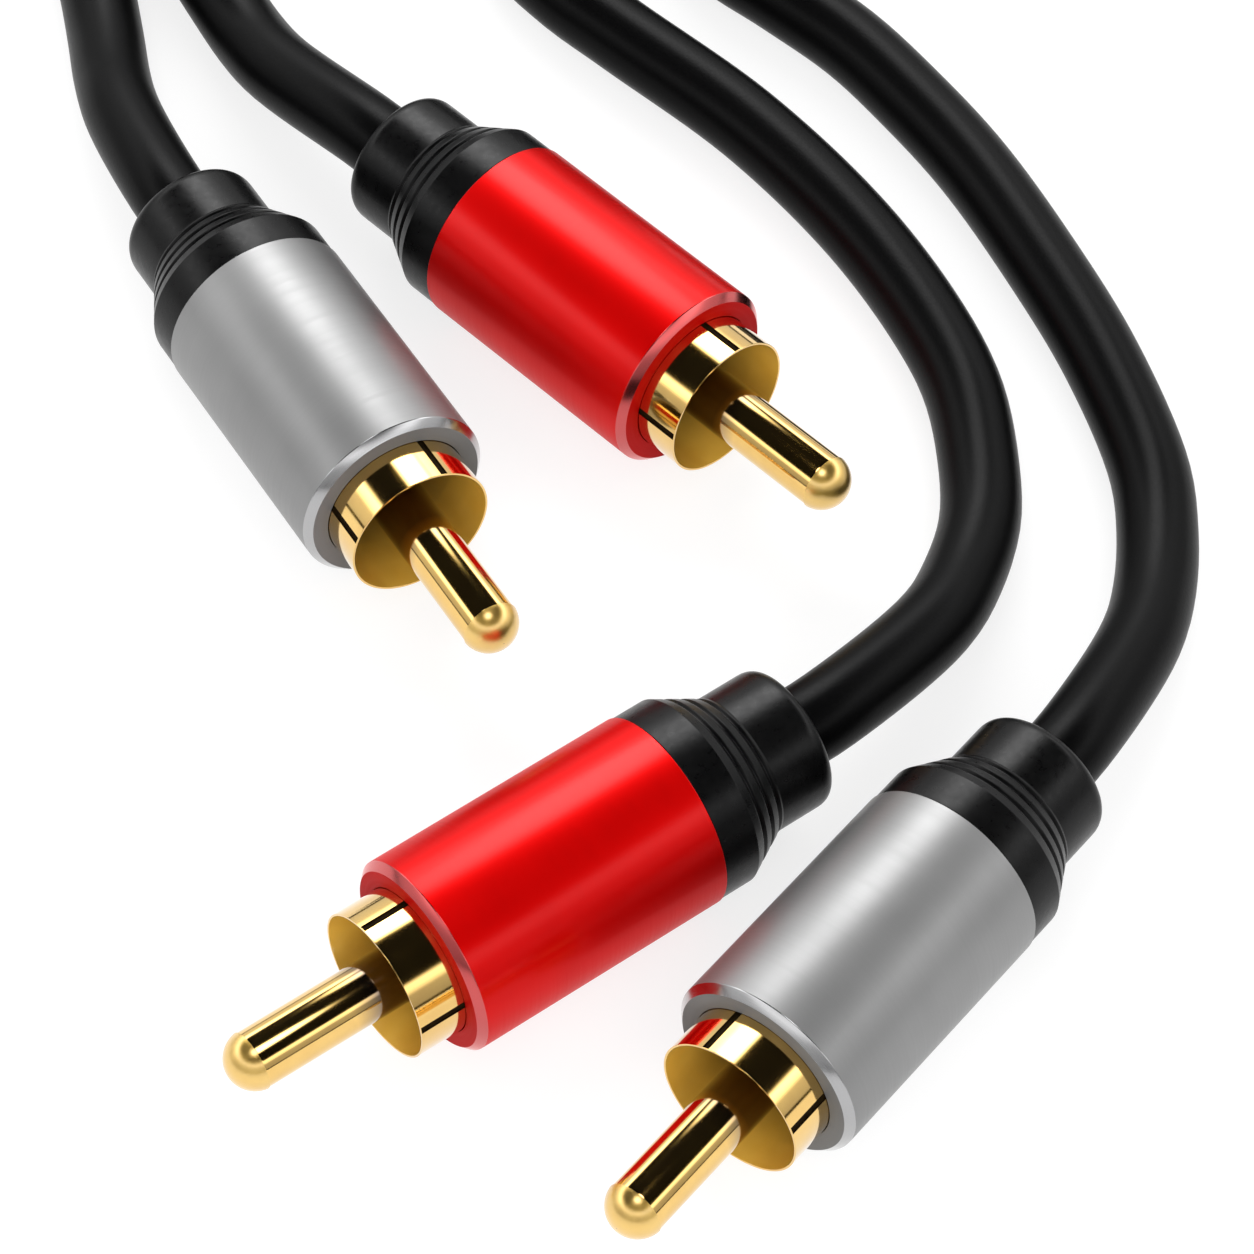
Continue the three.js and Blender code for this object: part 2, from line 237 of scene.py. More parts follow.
def new_piece(name, points, across, along, materials, numbers=0, flip=False, sharp=35):
    """Mesh object of a grid of points, smooth except where its faces meet sharply.

    The grid closes on itself across its columns. Where along has one place more than there
    are rows it closes along them too, and otherwise one face closes each end. across and
    along are the places of the columns and rows in the UV map, in metres. numbers say which
    of the materials a row or a face has, and flip turns all the faces round.
    """
    rows, columns = points.shape[:2]
    row = np.arange(len(along) - 1)[:, None, None] + [0, 0, 1, 1]
    column = np.arange(columns)[:, None] + [0, 1, 1, 0]
    faces = ((row % rows) * columns + column % columns).reshape(-1, 4).tolist()
    uv = np.stack(np.broadcast_arrays(across[column], along[row]), axis=-1).reshape(-1, 4, 2)
    numbers = np.broadcast_to(numbers, (len(along) - 1, columns)).ravel()
    if len(along) == rows:
        first = list(range(columns))
        faces += [first[::-1], [(rows - 1) * columns + i for i in first]]
    if flip:
        faces = [face[::-1] for face in faces]
        uv = uv[:, ::-1]
    mesh = bpy.data.meshes.new(name)
    mesh.from_pydata(points.reshape(-1, 3).tolist(), [], faces)
    layer = mesh.uv_layers.new(name="surface")
    corner_uv = np.zeros((len(mesh.loops), 2))
    corner_uv[: len(uv) * 4] = uv.reshape(-1, 2)
    layer.data.foreach_set("uv", corner_uv.ravel())
    for material in materials:
        mesh.materials.append(material)
    face_numbers = np.zeros(len(faces), dtype=np.int32)
    face_numbers[: len(numbers)] = numbers
    mesh.polygons.foreach_set("material_index", face_numbers)
    mesh.shade_smooth()
    mesh.set_sharp_from_angle(angle=math.radians(sharp))
    piece = bpy.data.objects.new(name, mesh)
    bpy.context.scene.collection.objects.link(piece)
    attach(piece, "root")
    return piece


def tube(name, line, radius, sides, material):
    """Circle of the radius carried along an even line, kept level, with both ends closed."""
    ahead = np.gradient(line, axis=0)
    ahead /= np.linalg.norm(ahead, axis=1)[:, None]
    level = np.cross(ahead, [0, 0, 1])
    level /= np.linalg.norm(level, axis=1)[:, None]
    upward = np.cross(level, ahead)
    angles = np.linspace(0, 2 * math.pi, sides + 1)
    turn = angles[:-1, None]
    ring = np.cos(turn) * level[:, None] + np.sin(turn) * upward[:, None]
    points = line[:, None] + radius * ring
    along = np.arange(len(line)) * np.linalg.norm(line[1] - line[0])
    return new_piece(name, points, radius * angles, along, [material], flip=True)


def new_material(name, **values):
    """Principled material with the values set on its own sockets."""
    material = bpy.data.materials.new(name)
    material.use_nodes = True
    shader = material.node_tree.nodes["Principled BSDF"]
    for socket, value in values.items():
        shader.inputs[socket.replace("_", " ")].default_value = value
    return material


def add_node(material, kind, values=None, **links):
    """Node of that kind. Values are by socket, and links are socket = (node, output)."""
    node = material.node_tree.nodes.new(kind)
    for socket, value in (values or {}).items():
        node.inputs[socket].default_value = value
    for socket, (source, output) in links.items():
        material.node_tree.links.new(source.outputs[output], node.inputs[socket])
    return node


def feed(material, socket, source, output):
    """Links an output to a socket of the material's Principled shader."""
    shader = material.node_tree.nodes["Principled BSDF"]
    material.node_tree.links.new(source.outputs[output], shader.inputs[socket])


def noise(material, scale, detail=3, stretch=(1, 1, 1), space="Object"):
    """Noise texture on Object coordinates or UV, stretched by a Mapping node."""
    place = add_node(material, "ShaderNodeTexCoord")
    mapping = add_node(material, "ShaderNodeMapping", {"Scale": stretch}, Vector=(place, space))
    settings = {"Scale": scale, "Detail": detail}
    return add_node(material, "ShaderNodeTexNoise", settings, Vector=(mapping, "Vector"))


def roughen(material, source, low, high):
    """Roughness from the low to the high value over the middle of a noise's range."""
    limits = {"From Min": NOISE_LOW, "From Max": NOISE_HIGH, "To Min": low, "To Max": high}
    rough = add_node(material, "ShaderNodeMapRange", limits, Value=(source, "Fac"))
    feed(material, "Roughness", rough, "Result")


def tint(material, source, dark, light):
    """Base colour from the dark to the light one over the middle of a noise's range."""
    ramp = add_node(material, "ShaderNodeValToRGB", Fac=(source, "Fac"))
    low, high = ramp.color_ramp.elements
    low.position = NOISE_LOW
    low.color = (*dark, 1)
    high.position = NOISE_HIGH
    high.color = (*light, 1)
    feed(material, "Base Color", ramp, "Color")


def bump(material, source, strength, depth, output="Fac"):
    """Bump node of that strength and depth in metres, fed to the shader's Normal."""
    settings = {"Strength": strength, "Distance": depth}
    node = add_node(material, "ShaderNodeBump", settings, Height=(source, output))
    feed(material, "Normal", node, "Normal")


def cord_material():
    """Extruded soft PVC: satin black, with faint draw marks along it and a fine grain."""
    material = new_material("cord_pvc", Roughness=0.32, Specular_IOR_Level=0.06)
    marks = noise(material, 900, detail=2, stretch=(1, 0.04, 1), space="UV")
    grain = noise(material, 6000)
    tint(material, marks, (0.0012, 0.0012, 0.0013), (0.0024, 0.0024, 0.0025))
    roughen(material, grain, 0.3, 0.36)
    bump(material, grain, 0.12, 0.05 * MM)
    return material


cord_pvc = cord_material()

for colour in ("grey", "red"):
    left, right = f"{colour}_left", f"{colour}_right"
    points = np.concatenate([free_end(left), coil_line(colour), free_end(right)[::-1]])
    line = smooth_line(points, LEAD_STEP)
    lead = tube(f"{colour}_lead", line, CORD_DIAMETER / 2, LEAD_SIDES, cord_pvc)
    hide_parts(f"cord_{left}", f"cord_{right}", "cord_coil")


# Strap. A flat strip of woven black polyester goes once round all the turns of the coil. Its
# end laps over on top, where it is pressed down on itself.
STRAP_WIDTH = 8 * MM
STRAP_INNER = 10.92 * MM
STRAP_OUTER = 41 * MM
STRAP_SHOULDER = 16.6 * MM
STRAP_BOTTOM = 0.3 * MM
STRAP_TOP = 10.45 * MM
STRAP_CORNER = 2.6 * MM
STRAP_LAP = 17 * MM
STRAP_LAP_LIFT = 1.05 * STRAP_THICKNESS
STRAP_ROWS = 190
STRAP_SIDES = 32
STRAP_EDGE_POWER = 0.35
STRAP_FACE_POWER = 0.7
STRAP_TIP_ROWS = 6
STRAP_TIP_CUT = 0.6


def filleted(points, radii, steps):
    """Outline with each corner rounded by its radius, in that many steps.

    The rounding meets both sides at radius / tan(half the corner's angle) from the corner,
    and at most just short of the middle of the shorter side. It is the quadratic curve
    between those two points, a little fuller than the arc. A radius of 0 keeps the corner.
    """
    outline = []
    points = np.asarray(points, dtype=float)
    for i, (corner, radius) in enumerate(zip(points, radii)):
        to_last = points[i - 1] - corner
        to_next = points[(i + 1) % len(points)] - corner
        lengths = np.linalg.norm(to_last), np.linalg.norm(to_next)
        if radius == 0 or min(lengths) == 0:
            outline.append(corner[None])
            continue
        to_last, to_next = to_last / lengths[0], to_next / lengths[1]
        half = math.acos(np.clip(to_last @ to_next, -1, 1)) / 2
        back = min(radius / math.tan(half), 0.49 * min(lengths))
        t = np.linspace(0, 1, steps + 1)[:, None]
        start, end = corner + back * to_last, corner + back * to_next
        outline.append((1 - t) ** 2 * start + 2 * t * (1 - t) * corner + t**2 * end)
    return np.concatenate(outline)


def strap_material():
    """Woven polyester: two crossed rows of fine threads, matt black with a soft sheen."""
    material = new_material("strap_weave", Roughness=0.8, Sheen_Weight=0.35, Sheen_Roughness=0.4)
    place = add_node(material, "ShaderNodeTexCoord")
    waves = []
    for direction in ("X", "Y"):
        settings = {"Scale": 420, "Distortion": 0}
        wave = add_node(material, "ShaderNodeTexWave", settings, Vector=(place, "UV"))
        wave.bands_direction = direction
        waves.append(wave)
    weave = add_node(material, "ShaderNodeMath")
    weave.operation = "MULTIPLY"
    for wave, socket in zip(waves, weave.inputs):
        material.node_tree.links.new(wave.outputs["Fac"], socket)
    fluff = noise(material, 2500, detail=4)
    tint(material, fluff, (0.008, 0.008, 0.009), (0.022, 0.022, 0.024))
    bump(material, weave, 0.6, 0.25 * MM, output="Value")
    return material


def strap_line():
    """Middle line of the strap in (outwards, up), once round the coil's section and lapped.

    It starts on top, goes out, down, in, up past the lower turns and aslant to the upper
    ones, and the last stretch lies on the first.
    """
    middle = (STRAP_INNER + STRAP_OUTER) / 2
    above = STRAP_TOP + STRAP_LAP_LIFT
    corners = [
        (middle - STRAP_LAP / 2, STRAP_TOP),
        (STRAP_OUTER, STRAP_TOP),
        (STRAP_OUTER, STRAP_BOTTOM),
        (STRAP_INNER, STRAP_BOTTOM),
        (STRAP_INNER, STRAP_TOP / 2),
        (STRAP_SHOULDER, above),
        (middle + STRAP_LAP / 2, above),
    ]
    return evenly(filleted(corners, [0, *[STRAP_CORNER] * 5, 0], 8), STRAP_ROWS)


def powered(wave, power):
    """The size of a sine or cosine raised to a power, with its own sign."""
    return np.sign(wave) * np.abs(wave) ** power


def strap():
    """Flat section with rounded edges carried along the strap's line, narrower at both tips.

    The section is half the width times a power of the cosine of an angle, by half the
    thickness times a power of its sine. A tip narrows by the square root of 1 less a share
    of the square of the way into it.
    """
    line = strap_line()
    ahead = np.gradient(line, axis=0)
    ahead /= np.linalg.norm(ahead, axis=1)[:, None]
    outwards = np.stack([ahead[:, 1], -ahead[:, 0]], axis=1)
    angle = np.linspace(0, 2 * math.pi, STRAP_SIDES, endpoint=False)
    across = STRAP_WIDTH / 2 * powered(np.cos(angle), STRAP_EDGE_POWER)
    through = STRAP_THICKNESS / 2 * powered(np.sin(angle), STRAP_FACE_POWER)
    row = np.arange(STRAP_ROWS)
    into_tip = 1 - np.clip(np.minimum(row, row[::-1]) / STRAP_TIP_ROWS, 0, 1)
    narrow = np.sqrt(1 - STRAP_TIP_CUT * into_tip**2)[:, None]
    section = line[:, None] - through[:, None] * outwards[:, None]
    outward = np.array([math.cos(STRAP_BEARING), math.sin(STRAP_BEARING), 0])
    sideways = np.array([-math.sin(STRAP_BEARING), math.cos(STRAP_BEARING), 0])
    points = (
        np.array([*COIL_CENTRE, 0])
        + section[..., :1] * outward
        + section[..., 1:] * np.array([0, 0, 1])
        + (narrow * across)[..., None] * sideways
    )
    girth = np.arange(STRAP_SIDES + 1) * 2 * STRAP_WIDTH / STRAP_SIDES
    along = np.arange(STRAP_ROWS) * np.linalg.norm(line[1] - line[0])
    piece = new_piece("coil_strap", points, girth, along, [strap_material()], sharp=60)
    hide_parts("coil_tie")


strap()


# Boots. Each is one moulding of soft black PVC that grips the cord behind the sleeve. It has
# a round shoulder against the sleeve, three fine grooves on its taper, and a rounded grip.
FLANGE_RADIUS = 5.68 * MM
FLANGE_FRONT = 16.22 * MM
FLANGE_BACK = 18.4 * MM
FLANGE_ROUND = 0.9 * MM
FLANGE_EDGE = 0.06 * MM
GRIP_FRONT = 21.2 * MM
GRIP_LEVEL = 0.25 * MM
GRIP_RADIUS = 4.2 * MM
GRIP_ROUND = 1.15 * MM
TAPER_END = 0.05 * MM
TAPER_ROWS = 90
GROOVES = 3
GROOVE_FIRST = 0.34 * MM
GROOVE_PITCH = 0.85 * MM
GROOVE_HALF = 0.2108 * MM
GROOVE_DEPTH = 0.2 * MM
CORE_BORE = 1.5 * MM
POCKET_DEPTH = 1 * MM
POCKET_GAP = 0.02 * MM
POCKET_EDGE = 0.12 * MM
TURNED_SEGMENTS = 128
EVEN_ANGLES = np.linspace(0, 2 * math.pi, TURNED_SEGMENTS, endpoint=False)


def turned(name, profile, plug, materials, numbers=0, radii=None, angles=EVEN_ANGLES,
           sharp=35, loop=True):
    """Piece turned about a plug's axis from a profile of (radius, along) rows.

    A point is radius * (cos, sin) of its angle across and down, and its place along. The
    angles start underneath, so the seam is out of sight. A profile that is a loop closes on
    itself, and any other is closed at both ends. radii may give a radius for each row and
    angle. The faces are turned round where the profile's area has the sign that needs it.
    """
    if radii is None:
        radii = np.repeat(profile[:, :1], len(angles), axis=1)
    turn = angles + math.pi / 2
    across, forward, down, centre = plug_frame(plug)
    points = (
        centre
        + (radii * np.cos(turn))[..., None] * across
        + profile[:, 1, None, None] * forward
        + (radii * np.sin(turn))[..., None] * down
    )
    along = lengths_along(np.concatenate([profile, profile[:1]]) if loop else profile)
    girth = np.append(angles, 2 * math.pi) * profile[:, 0].max()
    r, y = profile.T
    inside_out = np.sum(r * np.roll(y, -1) - y * np.roll(r, -1)) > 0
    return new_piece(name, points, girth, along, materials, numbers, inside_out, sharp)


def boot_material():
    """Moulded soft PVC: satin black, with the fine orange peel of a cheap mould."""
    material = new_material("boot_pvc", Roughness=0.3, Specular_IOR_Level=0.17)
    peel = noise(material, 2600)
    blotch = noise(material, 260, detail=2)
    tint(material, blotch, (0.0012, 0.0012, 0.0013), (0.0022, 0.0022, 0.0023))
    roughen(material, peel, 0.26, 0.34)
    bump(material, peel, 0.1, 0.06 * MM)
    return material


def boot_profile():
    """Outline from the pocket for the cord, over the grip, grooves and shoulder, to the bore.

    A groove is a dip of the taper's straight line by a cosine bell of its width and depth.
    """
    along = np.linspace(GRIP_FRONT + GRIP_LEVEL, FLANGE_BACK + TAPER_END, TAPER_ROWS)
    slope = (FLANGE_RADIUS - GRIP_RADIUS) / (GRIP_FRONT - FLANGE_BACK)
    radius = GRIP_RADIUS + np.clip(GRIP_FRONT - along, 0, None) * slope
    for i in range(GROOVES):
        middle = GRIP_FRONT - GROOVE_FIRST - i * GROOVE_PITCH
        off = np.clip((along - middle) / GROOVE_HALF, -1, 1)
        radius = radius - GROOVE_DEPTH * (1 + np.cos(math.pi * off)) / 2
    taper = np.stack([radius, -along], axis=1)
    pocket = CORD_DIAMETER / 2 + POCKET_GAP
    rear = filleted(
        [
            (CORE_BORE, POCKET_DEPTH - BOOT_END),
            (pocket, POCKET_DEPTH - BOOT_END),
            (pocket, -BOOT_END),
            (GRIP_RADIUS, -BOOT_END),
            taper[0],
        ],
        [0, 0, POCKET_EDGE, GRIP_ROUND, 0],
        10,
    )
    front = filleted(
        [
            taper[-1],
            (FLANGE_RADIUS, -FLANGE_BACK),
            (FLANGE_RADIUS, -FLANGE_FRONT),
            (CORE_BORE, -FLANGE_FRONT),
        ],
        [0, FLANGE_ROUND, FLANGE_EDGE, 0],
        8,
    )
    return np.concatenate([rear[:-1], taper, front[1:]])


boot_pvc = boot_material()
for plug in PLUGS:
    piece = turned(f"{plug}_boot_grip", boot_profile(), plug, [boot_pvc], sharp=50)
    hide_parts(f"{plug}_boot")


# Inside each sleeve. The cord's core runs to the pin's solder cup, its drain wire to the
# collar, and a hard black moulding holds both. The sleeve hides them once it is on.
core_pe = new_material("core_polyethylene", Roughness=0.5)
tint(core_pe, noise(core_pe, 400), (0.58, 0.55, 0.47), (0.68, 0.65, 0.58))
drain_tin = new_material("drain_tinned_copper", Metallic=1, Roughness=0.4)
tint(drain_tin, noise(drain_tin, 3000), (0.42, 0.41, 0.39), (0.56, 0.55, 0.53))
mould_black = new_material("mould_hard_black", Roughness=0.5)
mould_grain = noise(mould_black, 1800)
tint(mould_black, mould_grain, (0.012, 0.012, 0.012), (0.02, 0.02, 0.02))
bump(mould_black, mould_grain, 0.2, 0.05 * MM)

for plug in PLUGS:
    for node, material in (
        ("core_wire", core_pe),
        ("drain_wire", drain_tin),
        ("inner_mould", mould_black),
    ):
        shown = bpy.data.objects[f"{plug}_{node}"]
        for socket in shown.material_slots:
            socket.material = material


# Sleeves. Each is a tube of turned aluminium, anodised red or clear, pressed over the
# moulding and the collar. Its front face is left dull, and darker in colour as painted shade,
# and its chamfer is cut bright last.
SLEEVE_LENGTH = 16.2 * MM
SLEEVE_BORE = 4.38 * MM
SLEEVE_CHAMFER = 0.42 * MM
SLEEVE_ROUNDS = np.array([0, 0.05, 0.1, 0.04, 0.03]) * MM
FACE_STARTS = 0.01 * MM
FACE_ENDS = 0.04 * MM
CHAMFER_STARTS = SLEEVE_CHAMFER + 0.02 * MM
FACE_VARIES = 1.2
EDGE_VARIES = 1.08
# The face colours are darker copies of the barrel's: painted shade.
SLEEVE_COLOURS = {
    "red": {
        "dark": (0.64, 0.0004, 0.0004), "light": (0.7, 0.0006, 0.0006), "coat": 0.25,
        "face": (0.42, 0.0003, 0.0003), "edge": (0.5, 0.002, 0.002), "rim": (1, 0.04, 0.04, 1),
    },
    "grey": {
        "dark": (0.25, 0.25, 0.25), "light": (0.28, 0.28, 0.28), "coat": 0.15,
        "face": (0.14, 0.14, 0.14), "edge": (0.34, 0.34, 0.345), "rim": (1, 1, 1, 1),
    },
}


def anodised(name, dark, light, rim, metal, rough, coat, coat_index=1.5):
    """Turned and anodised aluminium: fine tool marks round it, under a thin clear coat."""
    material = new_material(
        name,
        Metallic=metal,
        Roughness=rough,
        Coat_Weight=coat,
        Coat_Roughness=0.2,
        Coat_IOR=coat_index,
    )
    shader = material.node_tree.nodes["Principled BSDF"]
    shader.inputs["Specular Tint"].default_value = rim
    marks = noise(material, 5200, detail=2, stretch=(0.015, 1, 1), space="UV")
    cloud = noise(material, 180, detail=2)
    tint(material, cloud, dark, light)
    roughen(material, marks, rough - 0.03, rough + 0.03)
    bump(material, marks, 0.04, 0.02 * MM)
    return material


def sleeve_materials(colour):
    """The barrel's, the dull front face's and the bright chamfer's finish. The face's darker
    colour is painted shade.
    """
    name = f"sleeve_{colour}"
    finish = SLEEVE_COLOURS[colour]
    dark, light, rim, coat = (finish[key] for key in ("dark", "light", "rim", "coat"))
    barrel = anodised(f"{name}_barrel", dark, light, rim, metal=0.75, rough=0.46, coat=coat)
    # The front face: rougher, and a darker copy of the barrel's colour as painted shade.
    dark, light = finish["face"], tuple(FACE_VARIES * v for v in finish["face"])
    face = anodised(f"{name}_face", dark, light, rim, metal=0.2, rough=0.6, coat=0)
    dark, light = finish["edge"], tuple(EDGE_VARIES * v for v in finish["edge"])
    chamfer = anodised(
        f"{name}_chamfer", dark, light, rim, metal=1, rough=0.2, coat=1, coat_index=1.9
    )
    return [barrel, face, chamfer]


sleeve_finish = {colour: sleeve_materials(colour) for colour in SLEEVE_COLOURS}
sleeve_outline = filleted(
    [
        (SLEEVE_BORE, -SLEEVE_LENGTH),
        (SLEEVE_RADIUS, -SLEEVE_LENGTH),
        (SLEEVE_RADIUS, -SLEEVE_CHAMFER),
        (SLEEVE_RADIUS - SLEEVE_CHAMFER, 0),
        (SLEEVE_BORE, 0),
    ],
    SLEEVE_ROUNDS,
    4,
)
row_end = np.roll(sleeve_outline, -1, axis=0)
row_middle = (sleeve_outline + row_end) / 2
on_face = (sleeve_outline[:, 1] > -FACE_STARTS) & (row_end[:, 1] > -FACE_ENDS)
on_chamfer = (row_middle[:, 1] > -CHAMFER_STARTS) & (row_middle[:, 0] > SLEEVE_BORE)
sleeve_numbers = np.where(on_face, 1, np.where(on_chamfer, 2, 0))[:, None]

for plug, facts in PLUGS.items():
    finish = sleeve_finish[facts["colour"]]
    piece = turned(
        f"{plug}_sleeve_shell", sleeve_outline, plug, finish, sleeve_numbers, sharp=25
    )
    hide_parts(f"{plug}_sleeve")


# Ground collars. Each is a thin cup of gold-plated brass, open towards the pin. Four fine
# slots along its wall let it grip the jack, and it is bored to a thin rim.
COLLAR_RADIUS = 4.35 * MM
COLLAR_BORE = 3.95 * MM
COLLAR_REACH = 2.8 * MM
COLLAR_DEPTH = 7.8 * MM
COLLAR_FLANGE = 0.8 * MM
COLLAR_NECK = 2.05 * MM
COLLAR_BACK_ROUND = 0.1 * MM
RIM_WALL = 0.12 * MM
RIM_ROUND = 0.03 * MM
RIM_TAPER = 3.4 * MM
RIM_TAPER_ROUND = 1.5 * MM
SLOTS = 4
SLOT_WIDTH = 0.42 * MM
SLOT_DEPTH = 0.1 * MM
SLOT_RIM = 0.05 * MM
SLOT_TAIL = 2.5 * MM
SLOT_WALL = 0.012 * MM
BORE_WITHIN = 0.9 * RIM_WALL
# The bore's painted shade: where it starts, where it is full, and its colour.
BORE_BRIGHT = 1.8 * MM
BORE_DARK = 8 * MM
BORE_PAINTED_SHADE = (0.12, 0.06, 0.008, 1)
GOLD_DARK = (0.78, 0.46, 0.07)
GOLD_LIGHT = (0.84, 0.52, 0.09)


def gold_material(name, rough, dark=GOLD_DARK, light=GOLD_LIGHT, metal=1, coat_rough=0.08):
    """Gold flash over nickel: polished, with faint tool marks round it and thin haze."""
    material = new_material(
        name,
        Metallic=metal,
        Roughness=rough,
        Coat_Weight=1,
        Coat_IOR=2.0,
        Coat_Roughness=coat_rough,
    )
    marks = noise(material, 9000, detail=2, stretch=(0.01, 1, 1), space="UV")
    haze = noise(material, 700)
    tint(material, haze, dark, light)
    roughen(material, haze, rough * 0.85, rough * 1.2)
    bump(material, marks, 0.005, 0.01 * MM)
    return material


def paint_shade_inwards(material, bright, dark, shade):
    """Fades a gold finish's colour to a painted shade between two lengths along the piece's UV.

    The painted shade and painted reflection stand for the dark that a deep gold cup shows
    inside, where gold mirrors only gold.
    """
    shader = material.node_tree.nodes["Principled BSDF"]
    gold = shader.inputs["Base Color"].links[0].from_node
    place = add_node(material, "ShaderNodeTexCoord")
    split = add_node(material, "ShaderNodeSeparateXYZ", Vector=(place, "UV"))
    limits = {"From Min": bright, "From Max": dark}
    depth = add_node(material, "ShaderNodeMapRange", limits, Value=(split, "Y"))
    inputs = {"Fac": (depth, "Result"), "Color1": (gold, "Color")}
    faded = add_node(material, "ShaderNodeMixRGB", {"Color2": shade}, **inputs)
    feed(material, "Base Color", faded, "Color")


gold_polished = gold_material("gold_polished", 0.1)
gold_bore = gold_material("gold_bore", 0.42, (0.95, 0.56, 0.07), (1, 0.62, 0.09), metal=0.35)
bore_rim = COLLAR_RADIUS - COLLAR_NECK + COLLAR_DEPTH + COLLAR_REACH
# The bore's gold fades inwards from the rim into painted shade.
paint_shade_inwards(gold_bore, bore_rim + BORE_BRIGHT, bore_rim + BORE_DARK, BORE_PAINTED_SHADE)
# Painted shadow for the slots: their floors and ends get a near-black brown in place of the
# shade inside them.
slot_painted_shadow = new_material("slot_shadow", Roughness=0.7, Specular_IOR_Level=0.05)
slot_shadow_noise = noise(slot_painted_shadow, 2500)
tint(slot_painted_shadow, slot_shadow_noise, (0.006, 0.003, 0.0006), (0.014, 0.008, 0.002))


def collar(plug):
    """Cup turned from its profile, its outer radius less by the slots' depth inside them.

    The angles are even, with four more at the two walls of each slot, and the rows have
    pairs at the ends of the slots, so that the slots' walls are steep. A point is in a slot
    where its angle is less than half the slot's width from the slot's middle.
    """
    back, reach = -COLLAR_DEPTH, COLLAR_REACH
    slot_end = reach - SLOT_RIM
    behind_slots = filleted(
        [
            (COLLAR_NECK, back),
            (COLLAR_RADIUS, back),
            (COLLAR_RADIUS, -SLOT_TAIL - SLOT_WALL),
        ],
        [0, COLLAR_BACK_ROUND, 0],
        3,
    )
    rim_and_bore = filleted(
        [
            (COLLAR_RADIUS, slot_end + SLOT_WALL),
            (COLLAR_RADIUS, reach),
            (COLLAR_RADIUS - RIM_WALL, reach),
            (COLLAR_BORE, reach - RIM_TAPER),
            (COLLAR_BORE, back + COLLAR_FLANGE),
        ],
        [0, RIM_ROUND, RIM_ROUND, RIM_TAPER_ROUND, 0],
        5,
    )
    profile = np.concatenate(
        [
            behind_slots,
            [(COLLAR_RADIUS, -SLOT_TAIL), (COLLAR_RADIUS, slot_end)],
            rim_and_bore,
            [(COLLAR_NECK, back + COLLAR_FLANGE)],
        ]
    )
    roll = -math.radians(PLUGS[plug]["roll"]) - math.pi / 2
    middles = roll + (np.arange(SLOTS) + 0.5) * 2 * math.pi / SLOTS
    half = SLOT_WIDTH / 2 / COLLAR_RADIUS
    wall = SLOT_WALL / COLLAR_RADIUS
    edges = (middles[:, None] + np.array([-half - wall, -half, half, half + wall])).ravel()
    off = np.abs(np.angle(np.exp(1j * (EVEN_ANGLES[:, None] - middles)))).min(axis=1)
    even = EVEN_ANGLES[off > half + 2 * wall]
    angles = np.sort(np.concatenate([even, edges % (2 * math.pi)]))
    off = np.abs(np.angle(np.exp(1j * (angles[:, None] - middles)))).min(axis=1)
    in_slot = off < half + wall / 2
    radius, along = profile.T
    slotted = (radius == COLLAR_RADIUS) & (along >= -SLOT_TAIL) & (along <= slot_end)
    radii = profile[:, :1] - SLOT_DEPTH * (slotted[:, None] & in_slot)
    slotted_next, in_slot_next = np.roll(slotted, -1), np.roll(in_slot, -1)
    floors = (slotted & slotted_next)[:, None] & (in_slot | in_slot_next)
    ends = (slotted ^ slotted_next)[:, None] & in_slot & in_slot_next
    bore = (radius <= COLLAR_RADIUS - BORE_WITHIN) & (along > back)
    # The slots' floors and ends take the painted shadow.
    numbers = np.where(floors | ends, 2, bore[:, None])
    finish = [gold_polished, gold_bore, slot_painted_shadow]
    piece = turned(f"{plug}_collar_cup", profile, plug, finish, numbers, radii, angles, sharp=30)
    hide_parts(f"{plug}_collar")


for plug in PLUGS:
    collar(plug)


# Insulators. Each is a dark brown disc of moulded nylon that holds the pin in the middle of
# the collar, with a neck that goes through the collar's back wall.
INSULATOR_FACE = 4.2 * MM
INSULATOR_NECK = 1.75 * MM
INSULATOR_END = 8.2 * MM
INSULATOR_BACK = COLLAR_DEPTH - COLLAR_FLANGE
INSULATOR_GAP = 0.02 * MM
INSULATOR_ROUND = 0.15 * MM
PIN_SEAT = 6.1 * MM
PIN_HOLE = 1.3 * MM
PIN_HOLE_ROUND = 0.1 * MM
PIN_RADIUS = 1.65 * MM

insulator_nylon = new_material("insulator_nylon", Roughness=0.45)
nylon_grain = noise(insulator_nylon, 1500)
tint(insulator_nylon, nylon_grain, (0.012, 0.006, 0.002), (0.02, 0.011, 0.004))
bump(insulator_nylon, nylon_grain, 0.15, 0.05 * MM)

insulator_outline = filleted(
    [
        (PIN_HOLE, -INSULATOR_END),
        (INSULATOR_NECK, -INSULATOR_END),
        (INSULATOR_NECK, INSULATOR_GAP - INSULATOR_BACK),
        (COLLAR_BORE - INSULATOR_GAP, INSULATOR_GAP - INSULATOR_BACK),
        (COLLAR_BORE - INSULATOR_GAP, -INSULATOR_FACE),
        (PIN_RADIUS + INSULATOR_GAP, -INSULATOR_FACE),
        (PIN_RADIUS + INSULATOR_GAP, -PIN_SEAT),
        (PIN_HOLE, -PIN_SEAT),
    ],
    [0, 0, 0, 0, INSULATOR_ROUND, PIN_HOLE_ROUND, 0, 0],
    4,
)
for plug in PLUGS:
    piece = turned(f"{plug}_insulator_disc", insulator_outline, plug, [insulator_nylon])
    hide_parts(f"{plug}_insulator")


